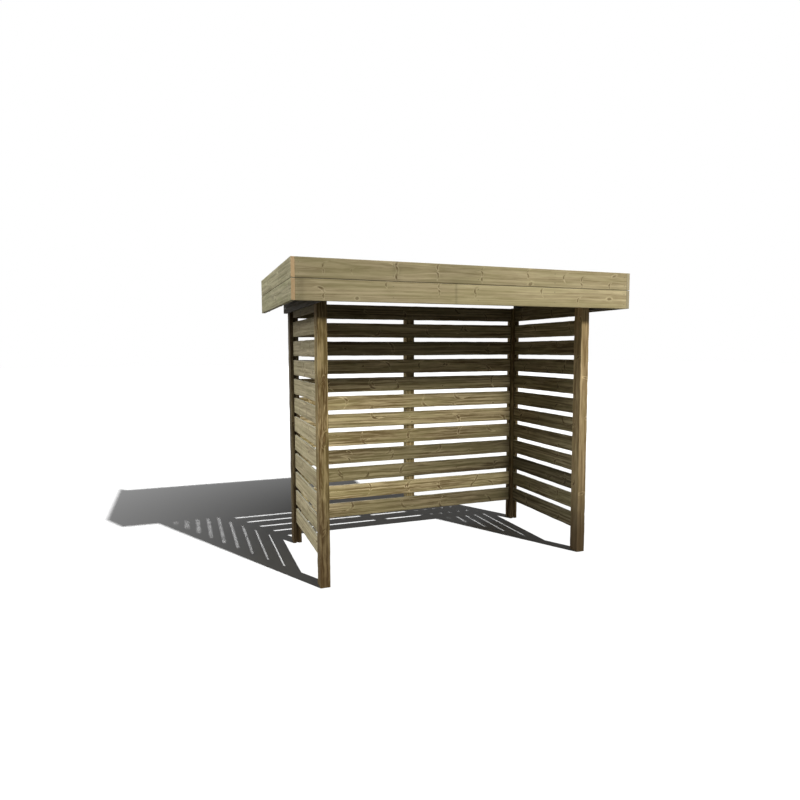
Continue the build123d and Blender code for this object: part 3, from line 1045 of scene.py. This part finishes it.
@dataclass
class Walls:
    """The slats on the left, the right and the back, and the batten behind the back ones."""

    count: int = 12
    height: float = 119 * MM
    gap: float = 31 * MM
    screw: Head = Head(3.8 * MM, 0.8 * MM, 1.8 * MM)
    screw_inset: float = 28 * MM
    stagger: float = 14 * MM
    back_tones: tuple[float, ...] = (-0.4, 0.1, -0.25, 0.3, -0.1, 0.4, 0.3, 0.25, -0.25, -0.25, 0.4, -0.2)
    # painted shade: the lower slats darken towards their right ends, where the right wall shades them
    back_painted_shade_fades: tuple[float, ...] = (0.0, 0.0, 0.0, 0.0, -0.1, -1.1, -0.5, -1.1, -0.7, -0.8, -1.0, -0.75)
    right_tones: tuple[float, ...] = (-0.3, 0.15, 0.0, -0.1, 0.0, -0.1, -0.1, -0.2, -0.2, -0.6, -0.3, -0.5)
    left_tones: tuple[float, ...] = (-0.5, -0.2, -0.4, -0.3, -0.2, -0.1, -0.02, -0.05, -0.08, -0.05, -0.15, -0.15)

    def wall(self, node: str, axis: Axis, seed: int) -> Timber:
        """Plans the slats of one wall, from the top one down.

        Args:
            node: The solids that the slats stand for.
            axis: The axis along which they lie.
            seed: The seed of their figure.

        Returns:
            The slats.
        """
        low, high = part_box(node)
        first = Vector((low.x, low.y, high.z - self.height))
        return Timber(node, first, high, axis, Axis.Z, SLAT_FINISH, seed=seed, count=self.count,
                      pitch=Vector((0.0, 0.0, -self.height - self.gap)), wander=2.4 * MM, bow=3 * MM, spikes=0.7)

    def build(self, shop: Workshop) -> None:
        """Builds the walls and the batten."""
        left = self.wall("left_wall_slats", Axis.Y, 211)
        right = self.wall("right_wall_slats", Axis.Y, 223)
        back = self.wall("back_wall_slats", Axis.X, 239)
        shop.saw(replace(left, finish=GREY_SLAT_FINISH, tones=self.left_tones))
        shop.saw(replace(right, tones=self.right_tones))
        shop.saw(replace(back, tones=self.back_tones, fades=self.back_painted_shade_fades))
        low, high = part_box("back_mid_batten")
        # painted light and shade: paler bands where the batten shows lit through the gaps, and a darker one where it
        # shows shaded
        marks = (Mark(1.485, 90 * MM, 0.45), Mark(0.885, 60 * MM, -0.25), Mark(0.585, 60 * MM, 0.45))
        shop.saw(Timber("back_mid_batten", low, high, Axis.Z, Axis.X, FRAME_FINISH, seed=251, radius=3 * MM,
                        heart=True, wander=1.6 * MM, tones=(0.2,), marks=marks))
        self.screws(shop)

    def screws(self, shop: Workshop) -> None:
        """Two screws through each back slat into the batten."""
        low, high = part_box("back_wall_slats")
        batten_low, batten_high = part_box("back_mid_batten")
        middle = (batten_low.x + batten_high.x) / 2
        places = []
        for number in range(self.count):
            top = high.z - number * (self.height + self.gap)
            for z, x in ((top - self.screw_inset, middle - self.stagger),
                         (top - self.height + self.screw_inset, middle + self.stagger)):
                places.append((Vector((x, low.y, z)), -Axis.Y.unit))
        shop.fix("slat_screws", places, self.screw, shop.screw_metals())


@dataclass
class Bearers:
    """The tapered boards along the posts' outer sides, with the bolts that hold them."""

    rear_height: float = 120 * MM
    bolt: Head = Head(8 * MM, 3 * MM, 3.4 * MM)
    bolt_inset: float = 26 * MM
    bolt_height: float = 38 * MM

    def build(self, shop: Workshop) -> None:
        """Builds the bearers and their bolts."""
        for seed, (side, way) in enumerate((("left", -Axis.X.unit), ("right", Axis.X.unit))):
            node = f"side_bearer_{side}"
            low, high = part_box(node)
            rear = Vector((high.x, high.y, low.z + self.rear_height))
            rise, length = high.z - rear.z, high.y - low.y

            def taper(local: np.ndarray, rise: float = rise, length: float = length) -> np.ndarray:
                """Lifts the top edge towards the front."""
                share = local[:, 1] / self.rear_height + 0.5
                lifted = local.copy()
                lifted[:, 1] += share * rise * (1 - local[:, 0] / length)
                return lifted

            # painted shade: the bearers are darkened far below their wood's colour, for the shade under the fascia
            shop.saw(Timber(node, low, rear, Axis.Y, Axis.Z, FRAME_FINISH, seed=301 + seed, shape=taper,
                            wander=1.4 * MM, tones=(-0.82,)))
            outer = high.x if side == "right" else low.x
            places = []
            for place in ("front", "back"):
                post_low, post_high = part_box(f"post_{place}_{side}")
                for y in (post_low.y + self.bolt_inset, post_high.y - self.bolt_inset):
                    places.append((Vector((outer, y, low.z + self.bolt_height)), way))
            metals = (shop.nail_metals()[0], shop.screw_metals()[1])
            shop.fix(f"bearer_bolts_{side}", places, self.bolt, metals)


@dataclass(frozen=True)
class FasciaLevel:
    """How the boards at one height look: their brightness, the front one's fade, which is painted light that brightens
    it towards the right, and its knots and marks.
    """

    name: str
    side_tone: float
    front_tone: float
    front_painted_light_fade: float
    knots: tuple[Knot, ...]
    marks: tuple[Mark, ...]


@dataclass
class Fascia:
    """The two boards, one above the other, on the front and both sides, with their cleats and screws."""

    cleat_columns: int = 5
    side_cleats: int = 2
    cleat_width: float = 45 * MM
    edge: float = 1.5 * MM
    screw: Head = Head(3.8 * MM, 0.6 * MM, 1.8 * MM)
    screw_inset: float = 22 * MM
    screw_level: float = 30 * MM
    corner_inset: float = 13 * MM
    levels: tuple[FasciaLevel, ...] = (
        FasciaLevel(
            "lower", side_tone=-0.14, front_tone=0.0, front_painted_light_fade=0.5,
            knots=(Knot(0.16, 0.008, 10 * MM, 36 * MM, 0.9, 0.8), *whorl(0.17, -0.030, size=7 * MM),
                   Knot(0.38, -0.046, 16 * MM, 13 * MM), *whorl(0.57, 0.050, size=7 * MM),
                   *whorl(0.93, 0.050, 0.01, size=8 * MM), *whorl(1.19, 0.030, 0.006, size=9 * MM),
                   *whorl(1.70, 0.044, size=9 * MM), *whorl(2.00, -0.014, size=8 * MM),
                   Knot(2.27, 0.0, 26 * MM, 14 * MM)),
            marks=(Mark(0.03, 26 * MM, -0.13), Mark(1.052, 10 * MM, -0.22), Mark(1.12, 50 * MM, 0.05))),
        FasciaLevel(
            "upper", side_tone=-0.02, front_tone=-0.06, front_painted_light_fade=0.4,
            knots=(*whorl(0.17, 0.020, -0.016, size=7 * MM), *whorl(0.345, -0.006, size=5 * MM),
                   *whorl(0.64, 0.046, 0.014, -0.026), *whorl(0.92, 0.044, -0.010, size=9 * MM),
                   *whorl(1.24, 0.038, 0.012, -0.022, size=8 * MM), *whorl(1.59, 0.036, 0.010, size=8 * MM),
                   Knot(1.61, -0.044, 22 * MM, 16 * MM, 0.4), *whorl(1.88, 0.014, size=8 * MM),
                   *whorl(2.03, 0.004, -0.040, size=8 * MM), Knot(2.31, 0.034, 26 * MM, 10 * MM, 0.4),
                   *whorl(2.27, -0.030, size=9 * MM)),
            marks=(Mark(0.64, 30 * MM, -0.09), Mark(1.06, 170 * MM, -0.12), Mark(1.61, 30 * MM, 0.06),
                   Mark(2.32, 45 * MM, -0.08))))

    def build(self, shop: Workshop) -> None:
        """Builds the boards, the cleats and the screws."""
        finishes = {"front": FRONT_FASCIA_FINISH, "left": SIDE_FASCIA_FINISH, "right": RIGHT_FASCIA_FINISH}
        for seed, (side, level) in enumerate((s, v) for s in finishes for v in self.levels):
            node = f"fascia_{side}_{level.name}"
            low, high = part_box(node)
            board = Timber(node, low, high, Axis.Y, Axis.Z, finishes[side], seed=401 + seed, radius=self.edge,
                           wander=0.4 * MM, tones=(level.side_tone,), station=14 * MM)
            if side == "front":
                board = replace(board, length_axis=Axis.X, tones=(level.front_tone,), fades=(level.front_painted_light_fade,),
                                knots=level.knots, marks=level.marks)
            shop.saw(board)
        for side in finishes:
            self.cleats(shop, side)
        self.screws(shop)

    def cleats(self, shop: Workshop, side: str) -> None:
        """Builds the cleats behind one side's boards."""
        node = f"fascia_cleats_{side}"
        low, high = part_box(node)
        axis, number = (Axis.X, self.cleat_columns) if side == "front" else (Axis.Y, self.side_cleats)
        span = high[axis.value] - low[axis.value]
        first = high.copy()
        first[axis.value] = low[axis.value] + self.cleat_width
        shop.saw(Timber(node, low, first, Axis.Z, axis, FRAME_FINISH, seed=431, count=number,
                        pitch=axis.unit * ((span - self.cleat_width) / (number - 1)), wander=1 * MM))

    def screws(self, shop: Workshop) -> None:
        """Two screws through each board into each cleat, and from the sides into the front boards' ends."""
        places = []
        inset = self.screw_inset
        for level in ("lower", "upper"):
            low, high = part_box(f"fascia_front_{level}")
            heights = (low.z + self.screw_level, high.z - self.screw_level)
            span = high.x - low.x - 2 * inset
            for column in range(self.cleat_columns):
                x = low.x + inset + span * column / (self.cleat_columns - 1)
                places += [(Vector((x, low.y, z)), -Axis.Y.unit) for z in heights]
            for side, way in (("left", -Axis.X.unit), ("right", Axis.X.unit)):
                side_low, side_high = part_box(f"fascia_{side}_{level}")
                x = side_low.x if side == "left" else side_high.x
                cleat_low, cleat_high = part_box(f"fascia_cleats_{side}")
                columns = (low.y + self.corner_inset, cleat_low.y + inset, cleat_high.y - inset)
                places += [(Vector((x, y, z)), way) for y in columns for z in heights]
        shop.fix("fascia_screws", places, self.screw, shop.screw_metals())


@dataclass
class RoofFrame:
    """The joists, the drip batten and the boards that the felt lies on."""

    joists: int = 5
    joist_width: float = 45 * MM
    joist_height: float = 60 * MM
    drip_height: float = 34 * MM
    drip_thickness: float = 22 * MM
    deck_thickness: float = 15 * MM
    deck_clearance: float = 2 * MM
    board_width: float = 98 * MM
    board_gap: float = 1.2 * MM
    cleat_thickness: float = 22 * MM

    def build(self, shop: Workshop) -> None:
        """Builds the joists, the drip batten and the deck."""
        place = shop.roof.matrix()
        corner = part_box("fascia_front_lower")[1]
        low, high = Vector((-corner.x, 0.0, 0.0)), Vector((corner.x, self.joist_width, self.joist_height))
        joist = Timber("roof_joist", low, high, Axis.X, Axis.Z, FRAME_FINISH, seed=0, station=40 * MM, place=place)
        first = shop.roof.along_fall(corner.y + self.cleat_thickness, 0.0)
        step = (-self.joist_width - first) / (self.joists - 1)
        for number in range(self.joists):
            shift = Axis.Y.unit * (first + number * step)
            shop.saw(replace(joist, node=f"roof_joist_{number + 1}", low=low + shift, high=high + shift,
                             seed=501 + number))
        low = Vector((-corner.x, 0.0, self.joist_height - self.drip_height))
        high = Vector((corner.x, self.drip_thickness, self.joist_height))
        shop.saw(replace(joist, node="roof_drip_batten", low=low, high=high, seed=521, wander=1 * MM))
        self.deck(shop, place, corner)

    def deck(self, shop: Workshop, place: Matrix, corner: Vector) -> None:
        """Builds the boards side by side along the fall, a hair's breadth apart."""
        reach = corner.x - self.deck_clearance
        front = shop.roof.along_fall(corner.y + self.deck_clearance, self.joist_height)
        number = round(2 * reach / self.board_width)
        pitch = 2 * reach / number
        low = Vector((-reach, front, self.joist_height))
        high = Vector((-reach + pitch - self.board_gap, self.drip_thickness, self.joist_height + self.deck_thickness))
        shop.saw(Timber("roof_deck", low, high, Axis.Y, Axis.X, DECK_FINISH, seed=541, count=number,
                        pitch=Axis.X.unit * pitch, wander=0.5 * MM, station=45 * MM, place=place, suffix="boards"))


@dataclass
class RoofFelt:
    """Two lapped lengths of mineral felt, turned up inside the fascia and down over the drip batten."""

    thickness: float = 3 * MM
    upstand: float = 17 * MM
    clearance: float = 0.5 * MM
    lap: float = 80 * MM
    lap_rise: float = 3.4 * MM
    rise_start: float = 130 * MM
    fade: float = 80 * MM
    lap_nail: float = 18 * MM
    apron_nail: float = 20 * MM
    ripple: float = 1.1 * MM
    base: float = 75 * MM
    rear: float = 22 * MM
    rear_gap: float = 0.4 * MM
    apron_top: float = 71 * MM
    drip_bottom: float = 26 * MM
    cell: float = 28 * MM
    nail: Head = Head(5 * MM, 1 * MM, 0.6 * MM)
    nail_spacing: float = 75 * MM
    nail_inset: float = 30 * MM

    @staticmethod
    def profile(start: float, end: float, steps: int) -> list[float]:
        """Places from start to end, evenly spaced."""
        return [start + (end - start) * i / steps for i in range(steps + 1)]

    def add_sheet(self, whole: bmesh.types.BMesh, rows: list[list[tuple[float, float, float]]]) -> None:
        """Adds a closed sheet whose lower side is a grid of points.

        Args:
            whole: The felt so far.
            rows: The points.
        """
        work = bmesh.new()
        grid = [[work.verts.new(point) for point in row] for row in rows]
        for lower, upper in zip(grid, grid[1:]):
            for i in range(len(lower) - 1):
                work.faces.new((lower[i], lower[i + 1], upper[i + 1], upper[i]))
        work.normal_update()
        bmesh.ops.solidify(work, geom=work.faces[:], thickness=-0.95 * self.thickness)
        bmesh.ops.recalc_face_normals(work, faces=work.faces[:])
        mesh = bpy.data.meshes.new("felt_length")
        work.to_mesh(mesh)
        work.free()
        whole.from_mesh(mesh)
        bpy.data.meshes.remove(mesh)

    def build(self, shop: Workshop) -> None:
        """Builds both lengths as one piece, and the nails along their edges."""
        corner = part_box("fascia_front_lower")[1]
        reach = corner.x - self.clearance
        front = shop.roof.along_fall(corner.y + self.clearance, self.base)
        middle = (front + self.rear) / 2
        top = self.base + self.thickness + self.upstand
        chance = random.Random(611)
        phases = [chance.uniform(0, math.tau) for _ in range(4)]

        def swell(x: float, y: float) -> float:
            """Height of the sheet's ripples, nothing at its edges."""
            margin = min(reach - abs(x), y - front, self.rear - y) / self.fade
            wave = (math.sin(5.1 * x + phases[0]) * math.sin(7.3 * y + phases[1])
                    + 0.6 * math.sin(13 * x + 4 * y + phases[2]) + 0.4 * math.sin(23 * y - 6 * x + phases[3]))
            return self.ripple * (1 + 0.5 * wave) * min(1.0, max(0.0, margin))

        def across(y: float, z: float) -> list[tuple[float, float, float]]:
            """One row from the left upstand to the right one."""
            edge = reach - self.thickness
            columns = self.profile(-edge, edge, round(2 * edge / self.cell))
            return [(-edge, y, top), *((x, y, z + swell(x, y)) for x in columns), (edge, y, top)]

        whole = bmesh.new()
        for start, end, lift in ((front + self.thickness, middle + self.lap / 2, self.lap_rise),
                                 (middle - self.lap / 2, self.rear, 0.0)):
            rows = []
            for y in self.profile(start, end, round((end - start) / self.cell)):
                near_lap = min(1.0, max(0.0, (y - middle + self.rise_start) / self.fade))
                rows.append(across(y, self.base + lift * near_lap))
            if lift:
                rows.insert(0, [(x, y, top) for x, y, _ in rows[0]])
            else:
                apron = self.profile(self.apron_top, self.drip_bottom, 3)
                rows += [[(x, self.rear + self.rear_gap, z) for x, _, _ in rows[-1]] for z in apron]
            self.add_sheet(whole, rows)
        mesh = bpy.data.meshes.new("roof_felt_laid")
        whole.to_mesh(mesh)
        whole.free()
        mesh.transform(shop.roof.matrix())
        mesh.materials.append(shop.palette.felt())
        smooth(mesh)
        shop.seat(add_object("roof_felt_laid", mesh), "roof_felt")
        self.nails(shop, reach, middle + self.lap / 2)

    def nails(self, shop: Workshop, reach: float, lap_end: float) -> None:
        """Clout nails along the lap and the apron."""
        place = shop.roof.matrix()
        turn = place.to_3x3()
        columns = self.profile(-reach + self.nail_inset, reach - self.nail_inset, round(2 * reach / self.nail_spacing))
        lap_height = self.base + 2 * self.thickness + self.ripple + 2.2 * MM
        apron = self.rear + self.thickness + 0.2 * MM
        lines = ((lap_end - self.lap_nail, lap_height, Axis.Z),
                 (apron, self.drip_bottom + self.apron_nail, Axis.Y))
        places = [(place @ Vector((x, y, z)), turn @ way.unit) for y, z, way in lines for x in columns]
        shop.fix("felt_nails", places, self.nail, shop.nail_metals())


@dataclass(frozen=True)
class Sun:
    """A sun lamp: its direction on the plan, its height and its width in the sky in degrees, and its light."""

    name: str
    way: tuple[float, float]
    elevation: float
    strength: float
    width: float
    tint: Colour = (1.0, 1.0, 1.0)

    def hang(self) -> bpy.types.Object:
        """Makes the lamp."""
        data = bpy.data.lights.new(self.name, "SUN")
        data.energy, data.angle, data.color = self.strength, math.radians(self.width), self.tint
        lamp = add_object(self.name, data)
        height = math.radians(self.elevation)
        way = Vector((*self.way, 0.0)).normalized() * math.cos(height) + Axis.Z.unit * math.sin(height)
        lamp.rotation_euler = way.to_track_quat("Z", "Y").to_euler()
        return lamp


@dataclass
class Studio:
    """The white floor, the lamps and the camera."""

    lens: float = 26.797
    sensor: float = 36.0
    eye: tuple[float, float, float] = (-1.86281, -4.21899, 1.56082)
    heading: float = 20.2098
    down: float = 4.7417
    roll: float = 0.18753
    ambient: float = 0.28
    floor_half: float = 60.0
    floor_seen: float = 0.27
    floor_plain: float = 0.05
    shade_middle: tuple[float, float, float] = (0.7, 0.3, 0.0)
    shade_fade: tuple[float, float] = (2.0, 4.4)
    shade_lift: float = 0.215
    floor_suns: tuple[Sun, ...] = (Sun("floor_key", (0.469, -0.883), 37, 19.5, 1.0),)
    store_suns: tuple[Sun, ...] = (
        Sun("key", (0.02, -1.0), 27, 2.5, 9), Sun("left_fill", (-1.0, -0.1), 40, 3.7, 45, tint=(0.84, 0.92, 1.0)),
        Sun("back_fill", (0.35, 1.0), 38, 0.7, 60), Sun("sky", (0.2, -0.4), 76, 0.4, 50))

    def camera(self) -> None:
        """Places the camera where the picture was taken from."""
        data = bpy.data.cameras.new("camera")
        data.lens, data.sensor_width, data.sensor_fit = self.lens, self.sensor, "HORIZONTAL"
        data.clip_end = 4 * self.floor_half
        camera = add_object("camera", data)
        turn = (Matrix.Rotation(-math.radians(self.heading), 4, "Z")
                @ Matrix.Rotation(math.radians(90 - self.down), 4, "X")
                @ Matrix.Rotation(-math.radians(self.roll), 4, "Z"))
        camera.matrix_world = Matrix.Translation(self.eye) @ turn
        bpy.context.scene.camera = camera

    @staticmethod
    def seen(nodes: NodeTree) -> Value:
        """One for what the camera, a reflection or a look through glass sees, and nought for plain light."""
        path = nodes.add("ShaderNodeLightPath")
        seen = path["Is Camera Ray"] + path["Is Glossy Ray"]
        return nodes.math("ADD", seen, path["Is Transmission Ray"], clamp=True)

    def floor(self) -> bpy.types.Object:
        """Makes the floor, which is white to the eye and keeps a deep shadow, which a painted glow lifts as it runs
        away from the store.

        Its own lamp is strong and its colour dark, so that the shadow is deep in the even light. The lamp doesn't
        light the store, and to plain light the floor is darker still, so that it doesn't throw too much back.
        """
        half = self.floor_half
        mesh = bpy.data.meshes.new("floor")
        mesh.from_pydata([(-half, -half, 0), (half, -half, 0), (half, half, 0), (-half, half, 0)], [], [(0, 1, 2, 3)])
        floor = add_object("floor", mesh)
        material, nodes, shader = Palette.blank("floor")
        away = nodes.vector("DISTANCE", nodes.place(), self.shade_middle, output="Value")
        # painted light: the floor glows to the camera, more with distance from the store, and so lifts its shadow
        painted_glow = nodes.ramp(away, *self.shade_fade, 0.0, self.shade_lift, smooth=False)
        camera_ray = nodes.add("ShaderNodeLightPath")["Is Camera Ray"]
        shader.feed({"Base Color": nodes.mix(self.seen(nodes), (self.floor_plain,) * 3, (self.floor_seen,) * 3),
                     "Emission Color": (1.0, 1.0, 1.0), "Emission Strength": painted_glow * camera_ray, "Roughness": 1.0,
                     "Specular IOR Level": 0.0})
        mesh.materials.append(material)
        return floor

    def world(self) -> None:
        """Makes the white background and the even light."""
        world = bpy.data.worlds.new("world")
        bpy.context.scene.world = world
        world.use_nodes = True
        nodes = NodeTree(world.node_tree)
        background = Node(nodes, world.node_tree.nodes["Background"])
        background.feed({"Color": nodes.mix(self.seen(nodes), (self.ambient,) * 3, (1.0, 1.0, 1.0))})

    @staticmethod
    def light(suns: Iterable[Sun], floor: bpy.types.Object, state: str) -> None:
        """Hangs lamps that light only the floor, or all but the floor."""
        receivers = bpy.data.collections.new(f"light_{state.lower()}")
        receivers.objects.link(floor)
        receivers.collection_objects[0].light_linking.link_state = state
        for sun in suns:
            sun.hang().light_linking.receiver_collection = receivers

    def build(self) -> None:
        """Sets up the studio."""
        self.camera()
        floor = self.floor()
        self.world()
        self.light(self.floor_suns, floor, "INCLUDE")
        self.light(self.store_suns, floor, "EXCLUDE")
        bpy.context.scene.view_settings.view_transform = "Standard"


def main() -> None:
    """Builds the studio and every sub-assembly in order, and writes down how large the result is."""
    logging.basicConfig(level=logging.INFO, format="%(name)s %(message)s")
    Studio().build()
    shop = Workshop(Palette(), sawn_rows_tree(), fixings_tree(), RoofPlane())
    for assembly in (Posts(), Walls(), Bearers(), Fascia(), RoofFrame(), RoofFelt()):
        assembly.build(shop)
    log.info("%d pieces, %d faces", len(shop.pieces), sum(len(piece.data.polygons) for piece in shop.pieces))


if __name__ == "__main__":
    main()
